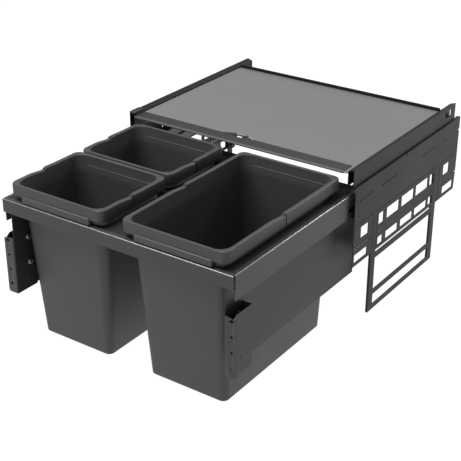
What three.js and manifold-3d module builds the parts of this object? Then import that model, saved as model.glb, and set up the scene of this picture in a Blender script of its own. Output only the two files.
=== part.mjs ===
// Pull-out waste sorting unit for a 600 mm kitchen base cabinet.
// Two perforated side plates screw to the cabinet walls and carry concealed runners, a pull-out
// cover and height-adjustable support legs. The runners carry a steel drawer frame in which three
// plastic bins hang, and two slotted brackets on the frame take the cabinet's own front panel.
// Millimetres, +X to the right of a person in front, +Y into the cabinet, +Z up.
// The drawer frame is drawn fully pulled out, the cover pushed in and the legs let down.

import * as THREE from 'three';
import { mergeVertices } from 'three/addons/utils/BufferGeometryUtils.js';
import Module from 'manifold-3d';

const wasm = await Module();
wasm.setup();

// ---- driving dimensions -------------------------------------------------------------------
const GAP = 0.3;                 // clearance between touching pieces
const SHEET = 1.5;               // steel sheet thickness

// Side plates: front edge at Y = 0.
const PLATE_X = 282;             // outer face, half of 564 mm
const PLATE_DEPTH = 474;
const PLATE_Z = [145, 320];      // bottom and top edge
const CREASE_Z = 236;            // longitudinal stiffening crease
const FOLD_WIDTH = 8;            // top edge folded inward
const HOLE_PITCH = 10;           // rows of screw holes
const HOLE_RADIUS = 2.3;
const GUIDE_Y = [93, 374];       // centres of the two leg guides
const GUIDE_WIDTH = 27;
const GUIDE_DEPTH = 8.5;

// Support legs: a ladder frame hanging below each plate, foot on Z = 0.
const LEG_STRIP = 20;            // width of the upright strips
const LEG_TOP_Z = 226;           // upper end of the uprights inside the guides
const LEG_BARS_Z = [[0, 13], [36, 49], [123, 137]];

// Cover: rails on both sides, shelf sheet between them.
const RAIL_X = 278;              // outer face of the cover rails
const RAIL_WIDTH = 13.5;
const RAIL_Z = [326, 354];       // slotted underside and inner top edge
const RAIL_SKIRT_Z = 321.4;      // the outer wall reaches down to just above the plate
const RAIL_END_Y = 451;
const COVER_END_Y = 402;
const COVER_FRONT_Y = -7;
const STRIP_DEPTH = 34;          // front strip, front to back
const STRIP_END_X = 255;         // right end of the strip
const RECESS_X = -14;            // middle of the strip's finger recess
const RECESS_RADIUS = 65;
const RECESS_REACH = 15;         // how far the recess bulges into the shelf
const COVER_TOP_Z = 351;         // shelf surface
const RIM_TOP_Z = 358;           // outer edge of the rails' sloped tops

// Drawer frame, fully pulled out.
const FRONT_Y = -400.5;          // front face of the front rail
const FRAME_X = 271.8;           // outer face of the side rails
const FRAME_TOP_Z = 304.5;
const FRONT_SKIRT = 28;
const SIDE_SKIRT = 50;
const SIDE_RAIL_END_Y = -9;
const PANEL_X = 253;             // outer face of the deep side panels
const PANEL_Z = [103, 302.2];
const PANEL_END_Y = 56;
const SUPPORT_END_Y = 16.5;      // rear edge of the bin support plate

// Runners: the drawer member travels with the frame, the middle one half as far.
const RUNNER_X = 261.6;
const CABINET_MEMBER_Y = [4, 464];
const MIDDLE_MEMBER_Y = [-190, 260];
const DRAWER_MEMBER_Y = [-389, 31];

// Front brackets.
const BRACKET_Z = [98, 226.5];
const BRACKET_FLANGE_X = [253.3, 277.5];
const BRACKET_HOLES_Z = [118.8, 150.8, 182.8, 214.8];
const BRACKET_BODY_Y = -343.5;    // rear end of the pocket
const BRACKET_OUTER_X = 272.9;    // outer face of the pocket
const SCREWS_Z = [157, 213];
const SCREW_Y = -361.5;

// Bins: rim outlines, then the common heights.
const BIN_Z = [5, 340];
const BIN_WALL = 2.6;
const RIM_SKIRT = 24;
const RIM_FLANGE = 9.5;
const COLLAR_Z = 316;             // foot of the mouth's collar, where the wall steps in
const BINS = [
  { name: 'bin_left_front', x: [-253.5, -23], y: [-395, -200] },
  { name: 'bin_left_rear', x: [-253.5, -23], y: [-193, -9] },
  { name: 'bin_right', x: [20.5, 253.5], y: [-395, -9] },
];

const model = new THREE.Group();

// ---- materials ----------------------------------------------------------------------------
const paint = (color, roughness, metalness) =>
  () => new THREE.MeshStandardMaterial({ color, roughness, metalness });
const coatedSteel = paint(0x46474a, 0.5, 0.35);
const satinSteel = paint(0x4a4a4c, 0.35, 0.45);
const binPlastic = paint(0x48484a, 0.65, 0.0);
const coverPaint = paint(0x7d7d7f, 0.45, 0.2);
const darkPlastic = paint(0x2e2e30, 0.55, 0.0);
const zincSteel = paint(0x5a5b5e, 0.4, 0.6);

// ---- shape helpers ------------------------------------------------------------------------
function block([x0, x1], [y0, y1], [z0, z1]) {
  const box = new THREE.BoxGeometry(x1 - x0, y1 - y0, z1 - z0);
  return box.translate((x0 + x1) / 2, (y0 + y1) / 2, (z0 + z1) / 2);
}

// A flat outline of [a, b] points pushed out by a thickness, with optional hole outlines.
function slab(outline, thickness, holes = []) {
  const extrude = (points, depth) => new THREE.ExtrudeGeometry(
    new THREE.Shape(points.map(([a, b]) => new THREE.Vector2(a, b))), { depth, bevelEnabled: false });
  const plain = extrude(outline, thickness);
  if (holes.length === 0) return plain;
  return cut(plain, ...holes.map((hole) => extrude(hole, thickness + 2).translate(0, 0, -1)));
}

// The same slab stood up in the Y-Z plane, from x0 to x0 + thickness.
function uprightSlab(outline, x0, thickness, holes = []) {
  const turn = new THREE.Matrix4().makeBasis(
    new THREE.Vector3(0, 1, 0), new THREE.Vector3(0, 0, 1), new THREE.Vector3(1, 0, 0));
  return slab(outline, thickness, holes).applyMatrix4(turn).translate(x0, 0, 0);
}

// An outline of [x, z] points drawn out along Y.
function alongY(outline, [y0, y1]) {
  const turn = new THREE.Matrix4().makeBasis(
    new THREE.Vector3(1, 0, 0), new THREE.Vector3(0, 0, 1), new THREE.Vector3(0, -1, 0));
  return slab(outline, y1 - y0).applyMatrix4(turn).translate(0, y1, 0);
}

// An outline of [x, y] points drawn up along Z.
function alongZ(outline, [z0, z1]) {
  return slab(outline, z1 - z0).translate(0, 0, z0);
}

// An outline of [y, z] points drawn out along X.
function alongX(outline, [x0, x1]) {
  return uprightSlab(outline, x0, x1 - x0);
}

function rectangle([a0, a1], [b0, b1]) {
  return [[a0, b0], [a1, b0], [a1, b1], [a0, b1]];
}

function ring(a, b, radius, sides = 6) {
  return Array.from({ length: sides }, (_, i) => {
    const angle = (i + 0.5) * 2 * Math.PI / sides;
    return [a + radius * Math.cos(angle), b + radius * Math.sin(angle)];
  });
}

function roundedRectangle([a0, a1], [b0, b1], radius, steps = 3) {
  const corners = [[a1, b0, -0.5], [a1, b1, 0], [a0, b1, 0.5], [a0, b0, 1]];
  const points = [];
  for (const [a, b, turn] of corners) {
    const ca = a === a1 ? a - radius : a + radius;
    const cb = b === b1 ? b - radius : b + radius;
    for (let i = 0; i <= steps; i++) {
      const angle = (turn + 0.5 * i / steps) * Math.PI;
      points.push([ca + radius * Math.cos(angle), cb + radius * Math.sin(angle)]);
    }
  }
  return points;
}

function solid(geometry) {
  const bare = geometry.clone();
  bare.deleteAttribute('normal');
  bare.deleteAttribute('uv');
  const merged = mergeVertices(bare, 1e-4);
  return new wasm.Manifold(new wasm.Mesh({
    numProp: 3,
    vertProperties: new Float32Array(merged.attributes.position.array),
    triVerts: new Uint32Array(merged.index.array),
  }));
}

function shell(manifold) {
  const mesh = manifold.getMesh();
  const geometry = new THREE.BufferGeometry();
  geometry.setAttribute('position', new THREE.BufferAttribute(mesh.vertProperties, 3));
  geometry.setIndex(new THREE.BufferAttribute(mesh.triVerts, 1));
  geometry.computeVertexNormals();
  return geometry;
}

function join(...geometries) {
  return shell(geometries.map(solid).reduce((a, b) => a.add(b)));
}

function cut(geometry, ...tools) {
  return shell(tools.map(solid).reduce((a, b) => a.subtract(b), solid(geometry)));
}

function add(name, geometry, material) {
  const mesh = new THREE.Mesh(geometry, material());
  mesh.name = name;
  model.add(mesh);
}

// Every handed piece is drawn on the right and mirrored to the left.
function addPair(name, geometry, material) {
  add(`${name}_right`, geometry, material);
  const left = geometry.index ? geometry.toNonIndexed() : geometry.clone();
  const position = left.attributes.position;
  for (let i = 0; i < position.count; i++) position.setX(i, -position.getX(i));
  for (let i = 0; i < position.count; i += 3) {
    const second = new THREE.Vector3().fromBufferAttribute(position, i + 1);
    const third = new THREE.Vector3().fromBufferAttribute(position, i + 2);
    position.setXYZ(i + 1, third.x, third.y, third.z);
    position.setXYZ(i + 2, second.x, second.y, second.z);
  }
  left.computeVertexNormals();
  add(`${name}_left`, left, material);
}

// ---- side plates --------------------------------------------------------------------------
function plateHoles() {
  const holes = [];
  const upperZ = [200, 225];
  const lowerZ = [153, 171];
  const narrow = [[104, 124], [338, 358]];
  const wide = [[139, 192], [205, 260], [271, 328]];
  for (const span of [...narrow, ...wide]) {
    holes.push(rectangle(span, upperZ), rectangle(span, lowerZ));
  }
  holes.push(rectangle([29, 59], upperZ), rectangle([6, 58], lowerZ));
  holes.push(rectangle([406, 434], upperZ), rectangle([409, 461], lowerZ));
  // Rows of screw holes: where each row starts, and how many holes it has.
  const rows = [[10, 7], [111, 7], [293, 7], [392, 4]];
  for (const z of [287, 183]) {
    for (const [start, count] of rows) {
      for (let i = 0; i < count; i++) {
        holes.push(ring(start + HOLE_PITCH * i, z, HOLE_RADIUS, 8));
      }
    }
  }
  for (const z of [253, 211]) holes.push(ring(18, z, 2.2, 8), ring(452, z, 2.2, 8));
  return holes;
}

function sidePlate() {
  const [bottom, top] = PLATE_Z;
  const notch = (z) => [[PLATE_DEPTH, z - 2], [PLATE_DEPTH - 6, z - 2],
    [PLATE_DEPTH - 6, z + 2], [PLATE_DEPTH, z + 2]];
  const outline = [[0, bottom], [PLATE_DEPTH - 4, bottom], ...notch(187), ...notch(289),
    [PLATE_DEPTH, top], [-6, top], [-6, top - 9], [0, top - 9]];
  const face = uprightSlab(outline, PLATE_X - SHEET, SHEET, plateHoles());
  const fold = block([PLATE_X - FOLD_WIDTH, PLATE_X - 0.01], [0, PLATE_DEPTH], [top - SHEET, top]);
  // Pressed lines on the outer face: beside each leg guide and along the crease between them.
  const line = (ySpan, zSpan) => block([PLATE_X - 0.55, PLATE_X + 1], ySpan, zSpan);
  const upright = [81, 98, 361, 385].map((y) => line([y - 0.6, y + 0.6], [bottom - 1, CREASE_Z]));
  const level = [[-1, 80], [99, 360], [386, 466]]
    .map((span) => line(span, [CREASE_Z - 0.6, CREASE_Z + 0.6]));
  // Two narrow slots free a tab in the top edge.
  const tabSlots = [[212.5, 215], [242.5, 244]].map((span) =>
    block([PLATE_X - 5, PLATE_X + 1], span, [top - 9, top + 1]));
  const inner = PLATE_X - SHEET + 0.2;
  // Each guide is a bent strap, open towards the other one so that the leg's bars can pass.
  const back = inner - GUIDE_DEPTH;
  const strap = 1.2;
  const guides = GUIDE_Y.map((y, i) => {
    const away = i === 0 ? -1 : 1;
    const wall = y + away * GUIDE_WIDTH / 2;
    const wallSpan = [wall, wall - away * strap].sort((a, b) => a - b);
    const backSpan = [wall, y].sort((a, b) => a - b);
    return join(block([back, inner], wallSpan, [bottom, CREASE_Z]),
      block([back, back + strap], backSpan, [bottom, CREASE_Z]));
  });
  const crease = alongY([[inner, CREASE_Z - 4], [inner, CREASE_Z + 4],
    [PLATE_X - SHEET - 0.7, CREASE_Z]], [0, PLATE_DEPTH - 8]);
  return cut(join(face, fold, crease, ...guides), ...upright, ...level, ...tabSlots);
}

addPair('side_plate', sidePlate(), coatedSteel);

// ---- support legs -------------------------------------------------------------------------
function supportLeg() {
  const outerX = PLATE_X - SHEET - 1.2;
  const uprights = GUIDE_Y.map((y) => {
    const half = LEG_STRIP / 2;
    const strip = block([outerX - SHEET, outerX], [y - half, y + half], [0, LEG_TOP_Z]);
    const flange = block([outerX - 5, outerX - 0.2], [y - half, y - half + SHEET], [0, LEG_TOP_Z]);
    return join(strip, flange);
  });
  const [front, rear] = GUIDE_Y;
  const bars = LEG_BARS_Z.map((z) =>
    block([outerX - SHEET, outerX], [front + 2, rear - 2], z));
  const foot = block([outerX - 5, outerX - 0.2], [front - 5, rear + 5], [0, SHEET]);
  return join(...uprights, ...bars, foot);
}

addPair('support_leg', supportLeg(), coatedSteel);

// ---- cover --------------------------------------------------------------------------------
// C-shaped rail with a sloped top and a slot below for the glides. Its outer wall hangs lower.
function coverRail() {
  const [bottom, top] = RAIL_Z;
  const inner = RAIL_X - RAIL_WIDTH;
  const t = 1.4;
  const slot = [inner + 5, inner + 9.5];
  const profile = [[slot[1], bottom], [RAIL_X - t, bottom], [RAIL_X - t, RAIL_SKIRT_Z],
    [RAIL_X, RAIL_SKIRT_Z], [RAIL_X, RIM_TOP_Z], [RAIL_X - t, RIM_TOP_Z], [inner, top],
    [inner, bottom], [slot[0], bottom], [slot[0], bottom + t], [inner + t, bottom + t],
    [inner + t, top - t], [RAIL_X - t, RIM_TOP_Z - t - 0.5], [RAIL_X - t, bottom + t],
    [slot[1], bottom + t]];
  const rail = alongY(profile, [COVER_FRONT_Y + 2, RAIL_END_Y]);
  const window = block([RAIL_X - t - 0.2, RAIL_X + 1], [402, RAIL_END_Y - 22], [bottom + 9, top - 4]);
  return cut(rail, window);
}

addPair('cover_rail', coverRail(), coatedSteel);

// Outline of the half-moon finger recess, seen from above, bulging back from the strip.
function halfMoon(spread) {
  const chordY = COVER_FRONT_Y + STRIP_DEPTH;
  const centreY = chordY + RECESS_REACH - RECESS_RADIUS;
  const reach = Math.acos((RECESS_RADIUS - RECESS_REACH) / RECESS_RADIUS);
  const steps = 14;
  return Array.from({ length: steps + 1 }, (_, i) => {
    const angle = Math.PI / 2 - reach + 2 * reach * i / steps;
    return [RECESS_X + (RECESS_RADIUS + spread) * Math.cos(angle),
      centreY + (RECESS_RADIUS + spread) * Math.sin(angle)];
  });
}

// Shelf sheet: flat, its edges turned down, with a half-moon cut out of its front edge. At the
// right it reaches forward past the strip's end.
function coverSheet() {
  const half = RAIL_X - RAIL_WIDTH - GAP;
  const floor = [COVER_TOP_Z - 1.6, COVER_TOP_Z];
  const front = COVER_FRONT_Y + STRIP_DEPTH + GAP;
  const rear = COVER_END_Y - 3 - GAP;
  const sheet = block([-half, half], [front, rear], floor);
  const nose = block([STRIP_END_X + GAP, half], [COVER_FRONT_Y, front + 1], floor);
  const hems = [-1, 1].map((side) => block([side * half, side * (half - 1.4)].sort((a, b) => a - b),
    [front, rear], [COVER_TOP_Z - 9, COVER_TOP_Z - 0.8]));
  const moon = alongZ([...halfMoon(GAP), [RECESS_X, front - 20]], [300, 400]);
  return cut(join(sheet, nose, ...hems), moon);
}

add('cover_sheet', coverSheet(), coverPaint);

// Rear lip: a folded strip that stops things from falling behind the shelf.
function coverLip() {
  const half = RAIL_X - RAIL_WIDTH - GAP;
  return block([-half, half], [COVER_END_Y - 3, COVER_END_Y], [COVER_TOP_Z - 9, RIM_TOP_Z]);
}

add('cover_rear_lip', coverLip(), coatedSteel);

// Front strip: a thin plastic moulding with a half-moon finger recess and a slot through it. Its
// left end lies over the rail and is raised to the height of the rail's sloped top.
function coverStrip() {
  const rear = COVER_FRONT_Y + STRIP_DEPTH;
  const half = RAIL_X - RAIL_WIDTH - GAP;
  const top = COVER_TOP_Z + 1.5;
  const bar = alongX([[COVER_FRONT_Y, top - 5], [rear, top - 5], [rear, top],
    [COVER_FRONT_Y + 4, top], [COVER_FRONT_Y, top - 3]], [-half, STRIP_END_X]);
  const dish = alongZ([...halfMoon(0), [RECESS_X, rear - 14]], [top - 5, top - 3.2]);
  const scoop = alongZ([...halfMoon(-3), [RECESS_X, rear - 8]], [top - 3.2, top + 1]);
  const slot = alongZ(roundedRectangle([RECESS_X - 16, RECESS_X + 16], [rear + 1, rear + 9], 3.5),
    [300, 400]);
  const end = alongX([[COVER_FRONT_Y + 1, RIM_TOP_Z + GAP], [rear, RIM_TOP_Z + GAP],
    [rear, RIM_TOP_Z + 1.8], [COVER_FRONT_Y + 4, RIM_TOP_Z + 1.8]], [-RAIL_X + 0.2, -half + 2]);
  const foot = block([-half, -half + 2], [COVER_FRONT_Y + 7, rear], [top - 1, RIM_TOP_Z + 1]);
  return join(cut(join(bar, dish), scoop, slot), end, foot);
}

add('cover_front_strip', coverStrip(), darkPlastic);

// Glides: plastic shoes clipped on the plates' folded top edge, their heads inside the rails.
function coverGlide(y) {
  const centre = RAIL_X - RAIL_WIDTH + 7.25;
  const half = 25;
  const foot = block([PLATE_X - FOLD_WIDTH - 5, RAIL_X - 1.4 - GAP], [y - half, y + half],
    [PLATE_Z[1] + GAP, PLATE_Z[1] + 4]);
  const neck = block([centre - 1.7, centre + 1.7], [y - half, y + half],
    [PLATE_Z[1] + 3, RAIL_Z[0] + 3]);
  const head = block([centre - 4.5, centre + 4.5], [y - half, y + half],
    [RAIL_Z[0] + 2, RAIL_Z[0] + 9]);
  return join(foot, neck, head);
}

addPair('cover_glide_front', coverGlide(45), darkPlastic);
addPair('cover_glide_rear', coverGlide(400), darkPlastic);

// ---- runners ------------------------------------------------------------------------------
// Three nested profiles: cabinet member, middle member, drawer member.
function cabinetMember() {
  const [low, high] = [246, 262];
  const half = 6.2;
  const t = 1.3;
  const channel = alongY([[RUNNER_X - half, low], [RUNNER_X + half, low], [RUNNER_X + half, high],
    [RUNNER_X + half - t, high], [RUNNER_X + half - t, low + t], [RUNNER_X - half + t, low + t],
    [RUNNER_X - half + t, high], [RUNNER_X - half, high]], CABINET_MEMBER_Y);
  const wallX = PLATE_X - SHEET - GAP;
  const feet = [[14, 60], [214, 260], [404, 456]].map((span) => join(
    block([RUNNER_X + half - 0.2, wallX], span, [low, low + SHEET]),
    block([wallX - SHEET, wallX], span, [low - SHEET, low + 14])));
  return join(channel, ...feet);
}

function middleMember() {
  const half = 3.6;
  const web = 1.2;
  const profile = [[-half, 250], [half, 250], [half, 252], [web, 253], [web, 281], [half, 282],
    [half, 284], [-half, 284], [-half, 282], [-web, 281], [-web, 253], [-half, 252]];
  return alongY(profile.map(([x, z]) => [RUNNER_X + x, z]), MIDDLE_MEMBER_Y);
}

function drawerMember() {
  const [low, high] = [271, 302.2 - GAP];
  const half = 6.2;
  const t = 1.3;
  return alongY([[RUNNER_X - half, low], [RUNNER_X - half + t, low], [RUNNER_X - half + t, high - t],
    [RUNNER_X + half - t, high - t], [RUNNER_X + half - t, low], [RUNNER_X + half, low],
    [RUNNER_X + half, high], [RUNNER_X - half, high]], DRAWER_MEMBER_Y);
}

addPair('runner_cabinet', cabinetMember(), zincSteel);
addPair('runner_middle', middleMember(), zincSteel);
addPair('runner_drawer', drawerMember(), zincSteel);

// ---- drawer frame -------------------------------------------------------------------------
function frontRail() {
  const end = FRAME_X - 0.8;
  const depth = 11;
  const lip = end - SHEET - 0.5;
  const top = block([-lip, lip], [FRONT_Y, FRONT_Y + depth], [FRAME_TOP_Z - SHEET, FRAME_TOP_Z]);
  const skirt = block([-end, end], [FRONT_Y, FRONT_Y + SHEET],
    [FRAME_TOP_Z - FRONT_SKIRT, FRAME_TOP_Z]);
  // An angle at each end reaches back behind the corner slot.
  const angles = [-1, 1].flatMap((side) => {
    const across = (a, b) => [side * (end - a), side * (end - b)].sort((p, q) => p - q);
    const reach = [FRONT_Y + 0.5, FRONT_Y + 10];
    const low = FRAME_TOP_Z - FRONT_SKIRT;
    return [block(across(7.2, 6), reach, [low, FRAME_TOP_Z - 0.5]),
      block(across(7.2, 1.2), reach, [low, low + 1.2])];
  });
  return join(top, skirt, ...angles);
}

function sideRail() {
  const inner = PANEL_X + 9.2;
  const front = FRONT_Y + SHEET + 4.5;
  const top = block([inner, FRAME_X], [front + 7.5, SIDE_RAIL_END_Y],
    [FRAME_TOP_Z - SHEET, FRAME_TOP_Z]);
  const skirt = block([FRAME_X - SHEET, FRAME_X], [front, SIDE_RAIL_END_Y],
    [FRAME_TOP_Z - SIDE_SKIRT, FRAME_TOP_Z]);
  return join(top, skirt);
}

// Deep side panel, punched for the bracket's screws.
function sidePanel() {
  const [bottom, top] = PANEL_Z;
  const front = FRONT_Y + SHEET + 0.5;
  const end = PANEL_END_Y;
  const outline = [[front, BRACKET_Z[0] + 20], [front + 14, bottom], [end, bottom],
    [end, top - 6], [end - 6, top], [front, top]];
  const holes = SCREWS_Z.map((z) => ring(SCREW_Y, z, 4.2, 12));
  holes.push(ring(SCREW_Y, 187, 2, 8), ring(SCREW_Y, 129.4, 2, 8), ring(SCREW_Y, 112, 2, 8));
  return uprightSlab(outline, PANEL_X - SHEET, SHEET, holes);
}

// Bin support plate: one sheet with three openings for the bins' bodies.
function supportPlate() {
  const edgeX = PANEL_X + 9.2 - GAP;
  const outline = rectangle([-edgeX, edgeX], [FRONT_Y + 11 + GAP, SUPPORT_END_Y]);
  const openings = BINS.map(({ x, y }) =>
    roundedRectangle([x[0] + 6.5, x[1] - 6.5], [y[0] + 10.5, y[1] - 3], 20));
  return slab(outline, SHEET, openings).translate(0, 0, FRAME_TOP_Z - SHEET);
}

// Rear rail ties the two side panels together behind the bins.
function rearRail() {
  const end = PANEL_X - SHEET - GAP;
  const web = block([-end, end], [PANEL_END_Y - SHEET, PANEL_END_Y], [240, 296]);
  const lowFlange = block([-end, end], [PANEL_END_Y - 16, PANEL_END_Y], [240, 240 + SHEET]);
  const topFlange = block([-end, end], [SUPPORT_END_Y + 2, PANEL_END_Y], [296 - SHEET, 296]);
  return join(web, lowFlange, topFlange);
}

add('front_rail', frontRail(), satinSteel);
addPair('side_rail', sideRail(), satinSteel);
addPair('side_panel', sidePanel(), satinSteel);
add('bin_support_plate', supportPlate(), coatedSteel);
add('rear_rail', rearRail(), coatedSteel);

// ---- front brackets and their screws ------------------------------------------------------
function frontBracket() {
  const [x0, x1] = BRACKET_FLANGE_X;
  const [bottom, top] = BRACKET_Z;
  const y = FRONT_Y + 1;
  const holes = BRACKET_HOLES_Z.map((z, i) => {
    const long = i === 0 || i === 3;
    return roundedRectangle([267.5 - (long ? 4 : 2.6), 267.5 + (long ? 4 : 2.6)],
      [z - 2.6, z + 2.6], 2.55);
  });
  const corner = 3;
  const outline = [[x0, bottom + corner], [x0 + corner, bottom], [x1 - corner, bottom],
    [x1, bottom + corner], [x1, top - 9], [x1 - 2, top - 7.5], [x0 + 3, top - 4], [x0, top - 5]];
  const turn = new THREE.Matrix4().makeBasis(
    new THREE.Vector3(1, 0, 0), new THREE.Vector3(0, 0, 1), new THREE.Vector3(0, -1, 0));
  const flange = slab(outline, SHEET, holes)
    .applyMatrix4(turn).translate(0, y + SHEET, 0);
  const wall = [BRACKET_OUTER_X - SHEET, BRACKET_OUTER_X];
  const outer = uprightSlab([[y + 0.2, bottom + corner], [BRACKET_BODY_Y - 5, bottom + corner],
    [BRACKET_BODY_Y, bottom + corner + 5], [BRACKET_BODY_Y, top], [y + 11, top],
    [y + 0.2, top - 7.5]], wall[0], SHEET, [rectangle([y + 20, y + 22], [131, 137])]);
  const web = block([PANEL_X + GAP, wall[1] - 0.2], [BRACKET_BODY_Y - SHEET, BRACKET_BODY_Y],
    [bottom + corner + 6, top - 1]);
  const inner = uprightSlab([[y + 0.2, bottom], [BRACKET_BODY_Y, bottom], [BRACKET_BODY_Y, top],
    [y + 11, top], [y + 0.2, top - 5.5]], PANEL_X + GAP, SHEET);
  // Upright slots let the bracket shift by the height adjustment while the screws stay.
  const bores = SCREWS_Z.map((z) => uprightSlab(
    roundedRectangle([SCREW_Y - 3.4, SCREW_Y + 3.4], [z - 6, z + 6], 3.35), PANEL_X - 1, 8));
  return cut(join(flange, outer, web, inner), ...bores);
}

addPair('front_bracket', frontBracket(), satinSteel);

// Domed adjusting screw: its head bears on the inside of the panel, its shank holds the bracket.
function adjustingScrew(z) {
  const outline = [[0, 0], [3.0, 0], [3.0, 8], [6.5, 8], [6.2, 10.2], [4.6, 12], [2, 12.8], [0, 13]];
  const profile = outline.map(([radius, height]) => new THREE.Vector2(radius, height));
  const screw = new THREE.LatheGeometry(profile, 16).rotateZ(Math.PI / 2);
  const cross = [block([-14, -11.2], [-2.6, 2.6], [-0.6, 0.6]),
    block([-14, -11.2], [-0.6, 0.6], [-2.6, 2.6])];
  return cut(screw, ...cross).translate(PANEL_X - SHEET - GAP + 8, SCREW_Y, z);
}

addPair('upper_adjusting_screw', adjustingScrew(SCREWS_Z[1]), zincSteel);
addPair('lower_adjusting_screw', adjustingScrew(SCREWS_Z[0]), zincSteel);

// ---- bins ---------------------------------------------------------------------------------
// A stack of rounded rectangles, each given by its spans, height and corner radius.
function loft(sections, steps = 3) {
  const rings = sections.map(({ x, y, z, r }) =>
    roundedRectangle(x, y, r, steps).map(([a, b]) => [a, b, z]));
  const count = rings[0].length;
  const vertices = rings.flat(2);
  const faces = [];
  for (let k = 0; k + 1 < rings.length; k++) {
    for (let i = 0; i < count; i++) {
      const j = (i + 1) % count;
      const [a, b, c, d] = [k * count + i, k * count + j, (k + 1) * count + j, (k + 1) * count + i];
      faces.push(a, b, c, a, c, d);
    }
  }
  const last = (rings.length - 1) * count;
  for (let i = 1; i + 1 < count; i++) {
    faces.push(0, i + 1, i);
    faces.push(last, last + i, last + i + 1);
  }
  const geometry = new THREE.BufferGeometry();
  geometry.setAttribute('position', new THREE.Float32BufferAttribute(vertices, 3));
  geometry.setIndex(faces);
  return geometry;
}

function inset({ x, y, z, r }, by, newZ = z) {
  return { x: [x[0] + by, x[1] - by], y: [y[0] + by, y[1] - by], z: newZ, r: Math.max(r - by, 2) };
}

function bin({ x, y }) {
  const [bottom, top] = BIN_Z;
  const sized = (sides, front, rear, z, r) =>
    ({ x: [x[0] + sides, x[1] - sides], y: [y[0] + front, y[1] - rear], z, r });
  const rim = sized(0, 0, 0, top, 14);
  const mouth = sized(RIM_FLANGE, 6, 6, top, 24);
  const collar = sized(RIM_FLANGE + 1.2, 8, 7.2, COLLAR_Z, 23);
  const waist = sized(RIM_FLANGE + 2.4, 16.6, 9.4, COLLAR_Z - 10, 22);
  const base = sized(27.5 + BIN_WALL, 34 + BIN_WALL, 12 + BIN_WALL, bottom + BIN_WALL, 14);
  const inside = loft([base, waist, collar, { ...mouth, z: top + 0.5 }]);
  const outside = loft([inset(base, -BIN_WALL, bottom), inset(waist, -BIN_WALL),
    inset(collar, -BIN_WALL), inset(mouth, -BIN_WALL)]);
  const skirt = loft([{ ...rim, z: top - RIM_SKIRT }, rim]);
  const underRim = loft([inset(rim, BIN_WALL, top - RIM_SKIRT - 1), inset(rim, BIN_WALL, top - 3)]);
  const ledgeX = [x[0] + 32, x[1] - 29];
  const restZ = [FRAME_TOP_Z + GAP, top - RIM_SKIRT + 0.5];
  const frontLedge = block(ledgeX, [y[0] - 3, y[0] + 16], [restZ[0], restZ[1] + 3.2]);
  const rearRest = block(ledgeX, [y[1] - 8, y[1]], [restZ[0], restZ[1] + 1.5]);
  const middle = (y[0] + y[1]) / 2;
  const notch = [[middle - 40, top + 1], [middle - 14, top - 3.4], [middle - 4, top - 3.4],
    [middle - 4, top + 1]];
  const notches = [alongX(notch, [x[0] - 1, x[0] + RIM_FLANGE - 3.4]),
    alongX(notch, [x[1] - RIM_FLANGE + 3.4, x[1] + 1])];
  const filled = solid(skirt).subtract(solid(underRim))
    .add(solid(outside)).add(solid(frontLedge)).add(solid(rearRest));
  const hollowed = [inside, ...notches].map(solid).reduce((a, b) => a.subtract(b), filled);
  return shell(hollowed);
}

for (const spec of BINS) add(spec.name, bin(spec), binPlastic);

// ---- origin: middle of the footprint, on the level of the legs' feet -----------------------
model.position.y = -(FRONT_Y + PLATE_DEPTH) / 2;

export default model;
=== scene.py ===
import math

import bmesh
import bpy
from mathutils import Matrix, Vector


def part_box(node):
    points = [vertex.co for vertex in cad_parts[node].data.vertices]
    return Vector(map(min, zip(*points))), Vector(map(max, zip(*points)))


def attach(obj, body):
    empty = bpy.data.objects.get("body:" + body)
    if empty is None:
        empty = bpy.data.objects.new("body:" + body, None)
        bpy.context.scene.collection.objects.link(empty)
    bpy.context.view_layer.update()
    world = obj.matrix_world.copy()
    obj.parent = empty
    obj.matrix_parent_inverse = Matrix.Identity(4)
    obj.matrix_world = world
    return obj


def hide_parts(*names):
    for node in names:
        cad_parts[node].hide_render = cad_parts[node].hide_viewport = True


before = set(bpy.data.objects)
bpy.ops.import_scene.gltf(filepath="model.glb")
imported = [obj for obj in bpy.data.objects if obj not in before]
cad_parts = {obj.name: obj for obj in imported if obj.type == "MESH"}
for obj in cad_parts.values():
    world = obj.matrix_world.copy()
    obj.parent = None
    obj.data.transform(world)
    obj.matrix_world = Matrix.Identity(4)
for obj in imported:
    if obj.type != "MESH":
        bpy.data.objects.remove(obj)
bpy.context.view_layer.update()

# ---- Camera, floor and light ----------------------------------------------------------------
# A long lens stands high at the front right corner. The floor is a plain self-lit white sheet.
# One broad soft light hangs overhead, a narrow one behind draws the folded edges, and a small one
# at the right grazes the drawer frame's side.
lens = bpy.data.cameras.new("camera")
lens.lens = 87.23
lens.sensor_width = 36.0
camera = bpy.data.objects.new("camera", lens)
bpy.context.scene.collection.objects.link(camera)
camera.location = (1.20731, -1.78175, 1.21683)
turn, tilt = math.radians(35.0), math.radians(26.73)
sight = Vector((-math.sin(turn) * math.cos(tilt), math.cos(turn) * math.cos(tilt), -math.sin(tilt)))
camera.rotation_mode = "QUATERNION"
camera.rotation_quaternion = sight.to_track_quat("-Z", "Y")
bpy.context.scene.camera = camera
bpy.context.scene.view_settings.view_transform = "Standard"

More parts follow.
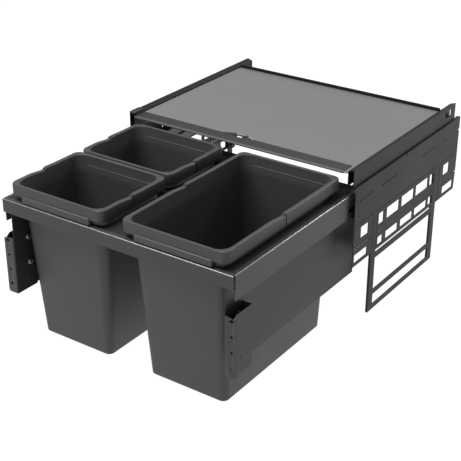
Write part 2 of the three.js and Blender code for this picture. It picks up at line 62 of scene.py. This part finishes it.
floor_shape = bmesh.new()
bmesh.ops.create_grid(floor_shape, x_segments=1, y_segments=1, size=14.0)
bmesh.ops.translate(floor_shape, verts=floor_shape.verts, vec=(0, 0, -0.0008))
floor_mesh = bpy.data.meshes.new("floor")
floor_shape.to_mesh(floor_mesh)
floor_shape.free()
floor = bpy.data.objects.new("floor", floor_mesh)
bpy.context.scene.collection.objects.link(floor)
floor_paint = bpy.data.materials.new("white_floor")
floor_paint.use_nodes = True
floor_shader = floor_paint.node_tree.nodes["Principled BSDF"]
floor_shader.inputs["Base Color"].default_value = (0.05, 0.05, 0.05, 1)
floor_shader.inputs["Roughness"].default_value = 0.9
floor_shader.inputs["Specular IOR Level"].default_value = 0.1
floor_shader.inputs["Emission Color"].default_value = (1, 1, 1, 1)
floor_shader.inputs["Emission Strength"].default_value = 1.0
floor_mesh.materials.append(floor_paint)

world = bpy.data.worlds.new("studio")
world.use_nodes = True
world.node_tree.nodes["Background"].inputs["Color"].default_value = (1.0, 1.0, 1.0, 1)
world.node_tree.nodes["Background"].inputs["Strength"].default_value = 0.34
bpy.context.scene.world = world


def soft_light(name, place, aim, width, depth, watts):
    """A rectangular soft box that hangs at a place and faces a point."""
    lamp = bpy.data.lights.new(name, "AREA")
    lamp.shape = "RECTANGLE"
    lamp.size, lamp.size_y, lamp.energy = width, depth, watts
    holder = bpy.data.objects.new(name, lamp)
    bpy.context.scene.collection.objects.link(holder)
    holder.location = place
    holder.rotation_mode = "QUATERNION"
    holder.rotation_quaternion = (Vector(aim) - Vector(place)).to_track_quat("-Z", "Y")


soft_light("overhead", (-0.8, -0.9, 2.6), (0, 0, 0.2), 2.0, 1.6, 110)
soft_light("edge_light", (0.4, 2.4, 2.2), (0, -0.1, 0.25), 1.6, 0.7, 34)
soft_light("side_glow", (0.95, 1.0, 0.5), (0.27, -0.08, 0.24), 0.3, 0.3, 3.0)

# ---- Side plates ----------------------------------------------------------------------------
# Perforated steel sheets, 1.5 mm thick, that screw to the cabinet walls. Punched, folded along
# the top edge and powder-coated in anthracite; two bent straps inside guide each support leg.


def coating(name, colour, roughness, grain, relief, drift=0.05, metallic=0.0, coat=0.0,
            coat_roughness=0.2, specular=0.5):
    """A finish with a fine grain in its relief and a slow drift in its tone and gloss."""
    made = bpy.data.materials.new(name)
    made.use_nodes = True
    nodes, links = made.node_tree.nodes, made.node_tree.links
    shader = nodes["Principled BSDF"]
    shader.inputs["Metallic"].default_value = metallic
    shader.inputs["Specular IOR Level"].default_value = specular
    shader.inputs["Coat Weight"].default_value = coat
    shader.inputs["Coat Roughness"].default_value = coat_roughness
    place = nodes.new("ShaderNodeTexCoord")
    fine = nodes.new("ShaderNodeTexNoise")
    fine.inputs["Scale"].default_value = grain
    fine.inputs["Detail"].default_value = 2.5
    fine.inputs["Roughness"].default_value = 0.55
    links.new(place.outputs["Object"], fine.inputs["Vector"])
    bump = nodes.new("ShaderNodeBump")
    bump.inputs["Strength"].default_value = 0.6
    bump.inputs["Distance"].default_value = relief
    links.new(fine.outputs["Fac"], bump.inputs["Height"])
    links.new(bump.outputs["Normal"], shader.inputs["Normal"])
    slow = nodes.new("ShaderNodeTexNoise")
    slow.inputs["Scale"].default_value = 7.0
    slow.inputs["Detail"].default_value = 2.0
    links.new(place.outputs["Object"], slow.inputs["Vector"])
    tone = nodes.new("ShaderNodeMix")
    tone.data_type = "RGBA"
    tone.inputs[6].default_value = (*[c * (1 - drift) for c in colour], 1)
    tone.inputs[7].default_value = (*[c * (1 + drift) for c in colour], 1)
    links.new(slow.outputs["Fac"], tone.inputs[0])
    links.new(tone.outputs[2], shader.inputs["Base Color"])
    gloss = nodes.new("ShaderNodeMapRange")
    gloss.inputs["From Min"].default_value = 0.3
    gloss.inputs["From Max"].default_value = 0.7
    gloss.inputs["To Min"].default_value = roughness - 0.03
    gloss.inputs["To Max"].default_value = roughness + 0.03
    links.new(slow.outputs["Fac"], gloss.inputs["Value"])
    links.new(gloss.outputs["Result"], shader.inputs["Roughness"])
    return made


def merged(node):
    """The node's triangles joined up and melted into flat faces, ready for its edges."""
    bm = bmesh.new()
    bm.from_mesh(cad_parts[node].data)
    bmesh.ops.remove_doubles(bm, verts=bm.verts, dist=2e-6)
    bmesh.ops.dissolve_limit(bm, angle_limit=math.radians(1.5), verts=bm.verts, edges=bm.edges)
    return bm


def break_edges(bm, width=0.0003, segments=2, over=35, chosen=None):
    """Rounds the sharp edges, or the chosen ones, by a small radius, and returns the new faces."""
    edges = [e for e in bm.edges if len(e.link_faces) == 2
             and e.calc_face_angle(0) > math.radians(over) and (chosen is None or chosen(e))]
    return bmesh.ops.bevel(bm, geom=edges, offset=width, segments=segments, profile=0.5,
                           affect="EDGES", material=-1, clamp_overlap=True)["faces"]


def finished(bm, name, body, finish, nodes, smooth=None, second_finish=None):
    """Turns the mesh into a piece that rides on its body, and stands for its CAD nodes.

    The second finish lies on the faces that carry material index 1, which are shaded smooth.
    """
    if smooth is not None:
        for face in bm.faces:
            face.smooth = True
        for edge in bm.edges:
            edge.smooth = len(edge.link_faces) == 2 and edge.calc_face_angle(0) < math.radians(smooth)
    if second_finish:
        for face in bm.faces:
            face.smooth = face.material_index == 1
    mesh = bpy.data.meshes.new(name)
    bm.to_mesh(mesh)
    bm.free()
    mesh.materials.append(finish)
    if second_finish:
        mesh.materials.append(second_finish)
    piece = bpy.data.objects.new(name, mesh)
    bpy.context.scene.collection.objects.link(piece)
    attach(piece, body)
    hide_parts(*nodes)


def refinished(node, finish):
    """Leaves the CAD piece as it is and lays the finish on its material slot."""
    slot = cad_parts[node].material_slots[0]
    slot.link = "OBJECT"
    slot.material = finish


powder_coat = coating("anthracite_powder_coat", (0.016, 0.016, 0.017), 0.52, 1400, 0.00012,
                      specular=0.22)
for side in ("left", "right"):
    refinished(f"side_plate_{side}", powder_coat)

# ---- Support legs ---------------------------------------------------------------------------
# Ladder frames punched from steel sheet, powder-coated like the plates. Each hangs in its two
# guides and drops until its foot bar stands on the cabinet floor.
for side in ("left", "right"):
    leg = merged(f"support_leg_{side}")
    break_edges(leg)
    finished(leg, f"leg_{side}", f"leg_{side}", powder_coat,
             [f"support_leg_{side}"])

# ---- Cover ----------------------------------------------------------------------------------
# A steel shelf that slides on two C rails over plastic glides. The shelf is folded and lacquered
# mid-grey; its rails and its rear lip are coated black; the front strip is a dark moulding with a
# finger recess.
shelf_lacquer = coating("grey_shelf_lacquer", (0.13, 0.13, 0.133), 0.45, 900, 0.00005,
                         drift=0.03, specular=0.35)
strip_plastic = coating("dark_moulding", (0.022, 0.022, 0.023), 0.5, 1100, 0.00008,
                        specular=0.35)
glide_plastic = coating("black_glide_plastic", (0.02, 0.02, 0.021), 0.45, 1300, 0.00006)
rail_coat = coating("black_rail_coat", (0.009, 0.009, 0.0095), 0.45, 1400, 0.00008, specular=0.2)
for side in ("left", "right"):
    rail = merged(f"cover_rail_{side}")
    break_edges(rail, 0.0005, 3)
    finished(rail, f"rail_{side}", "cover", rail_coat, [f"cover_rail_{side}"])
    for end in ("front", "rear"):
        glide = merged(f"cover_glide_{end}_{side}")
        break_edges(glide, 0.0006)
        finished(glide, f"glide_{end}_{side}", "cabinet_side", glide_plastic,
                 [f"cover_glide_{end}_{side}"])
shelf = merged("cover_sheet")
break_edges(shelf, 0.0005)
finished(shelf, "shelf", "cover", shelf_lacquer, ["cover_sheet"])
lip = merged("cover_rear_lip")
break_edges(lip, 0.0008, 3)
finished(lip, "rear_lip", "cover", rail_coat, ["cover_rear_lip"])
strip = merged("cover_front_strip")
break_edges(strip, 0.0005)
finished(strip, "front_strip", "cover", strip_plastic, ["cover_front_strip"])

# ---- Runners --------------------------------------------------------------------------------
# Roll-formed steel profiles under dark zinc, three on each side, that telescope inside one
# another. The middle one rides on its own body and travels half as far as the drawer's.
zinc = coating("dark_zinc_plate", (0.1, 0.1, 0.103), 0.4, 260, 0.00004, drift=0.12, metallic=0.6)
runner_bodies = {"cabinet": "cabinet_side", "middle": "runner_middle_", "drawer": "drawer_frame"}
for side in ("left", "right"):
    for member, body in runner_bodies.items():
        profile = merged(f"runner_{member}_{side}")
        break_edges(profile, 0.00025)
        finished(profile, f"runner_{member}_profile_{side}",
                 body + side if body.endswith("_") else body, zinc,
                 [f"runner_{member}_{side}"])

# ---- Drawer frame ---------------------------------------------------------------------------
# Folded sheet steel under satin anthracite enamel: a front rail, two side rails with their deep
# panels, a plate with three openings for the bins, and a rear rail that ties the panels. The top
# bends of the rails are glossier and carry a painted highlight in a lighter colour, and the panels'
# enamel is painted a shade darker as painted shade on the frame's sides.
satin_enamel = coating("satin_enamel", (0.038, 0.038, 0.039), 0.4, 700, 0.00003, drift=0.04,
                       specular=0.3)
# Painted shade: a darker copy of the satin enamel stands for the shade on the frame's sideways faces.
panel_enamel_painted_shade = coating("panel_enamel_painted_shade", (0.02, 0.02, 0.021), 0.42, 700, 0.00003, drift=0.04,
                       specular=0.28)
# Painted highlight: the bends get a lighter base colour than the satin enamel; their coat and low
# roughness are real gloss.
bend_enamel_with_painted_highlight = coating("glossy_bend_enamel_painted_highlight", (0.11, 0.11, 0.113), 0.24, 700, 0.00001,
                      drift=0.04, coat=1.0, coat_roughness=0.1, specular=1.0)
BEND_RADIUS = 0.0018
BEND_STEPS = 6


def along(edge, axis):
    """True if the edge runs along the axis."""
    way = (edge.verts[0].co - edge.verts[1].co).normalized()
    return abs(way[axis]) > 0.99


def on_plane(edge, axis, value):
    """True if both ends of the edge lie at that value on the axis."""
    return all(abs(v.co[axis] - value) < 5e-5 for v in edge.verts)


def bend_over(bm, chosen):
    """Rounds the chosen edges as folded bends and marks them for the second finish."""
    for face in break_edges(bm, BEND_RADIUS, BEND_STEPS, chosen=chosen):
        face.material_index = 1


rail = merged("front_rail")
low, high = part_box("front_rail")
bend_over(rail, lambda e: along(e, 0) and on_plane(e, 1, low.y) and on_plane(e, 2, high.z))
finished(rail, "frame_front_rail", "drawer_frame", satin_enamel, ["front_rail"],
         second_finish=bend_enamel_with_painted_highlight)

for side, way in (("left", -1), ("right", 1)):
    rail = merged(f"side_rail_{side}")
    low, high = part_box(f"side_rail_{side}")
    outer = high.x if way > 0 else low.x
    bend_over(rail, lambda e: along(e, 1) and on_plane(e, 0, outer) and on_plane(e, 2, high.z))
    finished(rail, f"frame_side_rail_{side}", "drawer_frame", satin_enamel,
             [f"side_rail_{side}"], second_finish=bend_enamel_with_painted_highlight)
    panel = merged(f"side_panel_{side}")
    break_edges(panel, 0.0004)
    finished(panel, f"frame_side_panel_{side}", "drawer_frame", panel_enamel_painted_shade,
             [f"side_panel_{side}"])

plate = merged("bin_support_plate")
break_edges(plate)
finished(plate, "frame_bin_plate", "drawer_frame", powder_coat,
         ["bin_support_plate"])
rail = merged("rear_rail")
break_edges(rail)
finished(rail, "frame_rear_rail", "drawer_frame", powder_coat, ["rear_rail"])

# ---- Front brackets and their screws --------------------------------------------------------
# Folded steel pockets on the side panels; the cabinet's front panel screws to their flanges,
# which face forward. Two domed screws in each let the bracket be shifted up and down.
screw_zinc = coating("screw_zinc", (0.2, 0.2, 0.205), 0.3, 500, 0.00002, drift=0.1, metallic=0.85)
for side in ("left", "right"):
    bracket = merged(f"front_bracket_{side}")
    break_edges(bracket)
    # Painted shade: the bracket's sideways faces take the darker panel enamel, and its forward-facing
    # faces the lighter satin enamel.
    for face in bracket.faces:
        face.material_index = 1 if face.normal.y < -0.9 else 0
    finished(bracket, f"bracket_{side}", f"bracket_{side}", panel_enamel_painted_shade,
             [f"front_bracket_{side}"], second_finish=satin_enamel)
    for level in ("upper", "lower"):
        screw = merged(f"{level}_adjusting_screw_{side}")
        break_edges(screw, 0.0002, over=50)
        finished(screw, f"{level}_screw_{side}", f"{level}_screw_{side}", screw_zinc,
                 [f"{level}_adjusting_screw_{side}"], smooth=40)

# ---- Bins -----------------------------------------------------------------------------------
# Injection-moulded polypropylene, one wall from floor to rim. Every bin has a rolled rim with a
# skirt, a hand notch in each side rim, a finger ledge along the front and a heel along the rear,
# and rests on the frame by the ledge and the heel.
MM = 0.001
bin_plastic = coating("bin_polypropylene", (0.041, 0.041, 0.043), 0.5, 1700, 0.0001, drift=0.04,
                      specular=0.4)

CORNER_STEPS = 7
GROOVE_DEPTH = 1.9 * MM
LEDGE_INSETS = (32 * MM, 29 * MM)  # from the rim's left and right ends
LEDGE_PROUD = 3 * MM               # in front of the rim
LEDGE_DEPTH = 20 * MM
LEDGE_HEIGHT = 15 * MM
HEEL_DEPTH = 8 * MM
HEEL_HEIGHT = 13.5 * MM
HANGING_GAP = 0.3 * MM             # between the frame's top and what rests on it
# Along a side rim: distance from its middle, how far the rim top is lowered, and whether the
# skirt is grooved there, all in millimetres.
NOTCH = ((-44, 0, 0), (-39, 0.3, 0), (-15, 3.0, 0), (-7.2, 3.4, 0), (-6.4, 0.6, 0), (-6.3, 0.4, 1),
         (-3.8, 0.2, 1), (-3.7, -0.3, 0), (2, -0.6, 0), (12, -0.5, 0), (24, 0, 0))


def rim_stations():
    """Where the outline's points stand, in order: at a corner by its angle, or along a side rim."""
    stations = []
    for corner, (sx, sy) in enumerate(((1, -1), (1, 1), (-1, 1), (-1, -1))):
        for step in range(CORNER_STEPS + 1):
            angle = (corner - 1 + step / CORNER_STEPS) * math.pi / 2
            stations.append(("corner", sx, sy, angle, 0))
        if corner == 0:
            stations += [("side", 1, away, drop, groove) for away, drop, groove in NOTCH]
        if corner == 2:
            stations += [("side", -1, away, drop, groove) for away, drop, groove in NOTCH[::-1]]
    return stations


def lay_outline(points, stations, rim, ring):
    """Lays one outline of the bin: a rounded rectangle inset from the rim by the ring's amounts."""
    sides, front, rear, height, radius, notched, skirt = ring
    x0, x1 = rim[0] + sides * MM, rim[1] - sides * MM
    y0, y1 = rim[2] + front * MM, rim[3] - rear * MM
    r = radius * MM
    for point, (kind, sx, second, third, groove) in zip(points, stations):
        if kind == "corner":
            centre = Vector((x1 - r if sx > 0 else x0 + r, y1 - r if second > 0 else y0 + r))
            point.co = (centre.x + r * math.cos(third), centre.y + r * math.sin(third), height * MM)
            continue
        drop = third if notched else 0
        deep = GROOVE_DEPTH if groove and skirt else 0
        x = x1 - deep if sx > 0 else x0 + deep
        point.co = (x, (rim[2] + rim[3]) / 2 + second * MM, (height - drop) * MM)


def drawn_up(rim, rings):
    """A closed shell grown ring by ring from its bottom face, out over the rim and back inside."""
    bm = bmesh.new()
    stations = rim_stations()
    points = bmesh.ops.create_circle(bm, cap_ends=True, segments=len(stations), radius=0.1)["verts"]
    lay_outline(points, stations, rim, rings[0])
    face = bm.faces[:][0]
    for ring in rings[1:]:
        grown = bmesh.ops.extrude_face_region(bm, geom=[face])["geom"]
        if ring is not rings[1]:
            bmesh.ops.delete(bm, geom=[face], context="FACES_ONLY")
        fresh = {g for g in grown if isinstance(g, bmesh.types.BMVert)}
        face = next(g for g in grown if isinstance(g, bmesh.types.BMFace))
        points = [next(e.other_vert(v) for e in v.link_edges if e.other_vert(v) in fresh)
                  for v in points]
        lay_outline(points, stations, rim, ring)
    bmesh.ops.recalc_face_normals(bm, faces=bm.faces)
    return bm


# Inset at the sides, front and rear, height, corner radius, notched, on the skirt's outer face.
BIN_RINGS = (
    (33, 39.5, 17.5, 5, 9, 0, 0), (29, 35.5, 13.5, 5.4, 12, 0, 0), (27.7, 34.2, 12.2, 7, 14, 0, 0),
    (27.3, 33.8, 12, 10, 15, 0, 0), (9.4, 14.2, 6.9, 303, 23, 0, 0), (9.2, 13.6, 6.7, 306, 23, 0, 0),
    (8.1, 5.6, 4.7, 315.5, 25, 0, 0), (7.3, 3.8, 3.8, 334.8, 25, 1, 0), (2.6, 2.6, 2.6, 334.8, 12, 1, 0),
    (2.5, 2.5, 2.5, 317, 12, 0, 0), (1.9, 1.9, 1.9, 316.1, 13, 0, 0), (0.8, 0.8, 0.8, 316.1, 14, 0, 1),
    (0.2, 0.2, 0.2, 316.9, 14, 0, 1), (0, 0, 0, 318.5, 14, 0, 1), (0, 0, 0, 330, 14, 0, 1),
    (0.1, 0.1, 0.1, 337.4, 14, 1, 1), (0.6, 0.6, 0.6, 339.0, 14, 1, 1), (1.6, 1.4, 1.4, 339.9, 14, 1, 0),
    (3.0, 2.2, 2.2, 340, 15, 1, 0), (7.6, 4.6, 4.6, 340, 22, 1, 0), (8.7, 5.4, 5.4, 339.6, 23, 1, 0),
    (9.3, 5.9, 5.9, 338.7, 23, 1, 0), (9.6, 6.2, 6.1, 337, 24, 1, 0), (10.7, 8, 7.2, 317.6, 23, 0, 0),
    (11.0, 8.6, 7.5, 316.6, 23, 0, 0), (12.4, 16.6, 9.4, 307, 22, 0, 0),
    (12.9, 17.2, 9.7, 300, 22, 0, 0), (29.6, 36, 14.3, 14, 16, 0, 0),
    (31, 37.5, 15.7, 9.4, 15, 0, 0), (35, 41, 19, 7.8, 12, 0, 0))


def moulded_bar(rim, y0, y1, z0, z1, radius):
    """A moulded bar along the rim with its long edges and ends rounded."""
    bm = bmesh.new()
    bmesh.ops.create_cube(bm, size=1.0)
    x0, x1 = rim[0] + LEDGE_INSETS[0], rim[1] - LEDGE_INSETS[1]
    bmesh.ops.scale(bm, vec=(x1 - x0, y1 - y0, z1 - z0), verts=bm.verts)
    bmesh.ops.translate(bm, vec=((x0 + x1) / 2, (y0 + y1) / 2, (z0 + z1) / 2), verts=bm.verts)
    bmesh.ops.bevel(bm, geom=bm.edges[:], offset=radius, segments=4, profile=0.5,
                    affect="EDGES", material=-1, clamp_overlap=True)
    return bm


def put_together(*parts):
    """One mesh out of several."""
    whole = bmesh.new()
    for part in parts:
        carrier = bpy.data.meshes.new("carrier")
        part.to_mesh(carrier)
        part.free()
        whole.from_mesh(carrier)
        bpy.data.meshes.remove(carrier)
    return whole


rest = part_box("front_rail")[1].z + HANGING_GAP
for name in ("bin_left_front", "bin_left_rear", "bin_right"):
    low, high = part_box(name)
    rim = (low.x, high.x, low.y + LEDGE_PROUD, high.y)
    shell = drawn_up(rim, BIN_RINGS)
    ledge = moulded_bar(rim, low.y, low.y + LEDGE_DEPTH, rest, rest + LEDGE_HEIGHT, 3.2 * MM)
    heel = moulded_bar(rim, high.y - HEEL_DEPTH, high.y - 0.2 * MM, rest, rest + HEEL_HEIGHT, 1 * MM)
    finished(put_together(shell, ledge, heel), f"{name}_moulding", name,
             bin_plastic, [name], smooth=38)
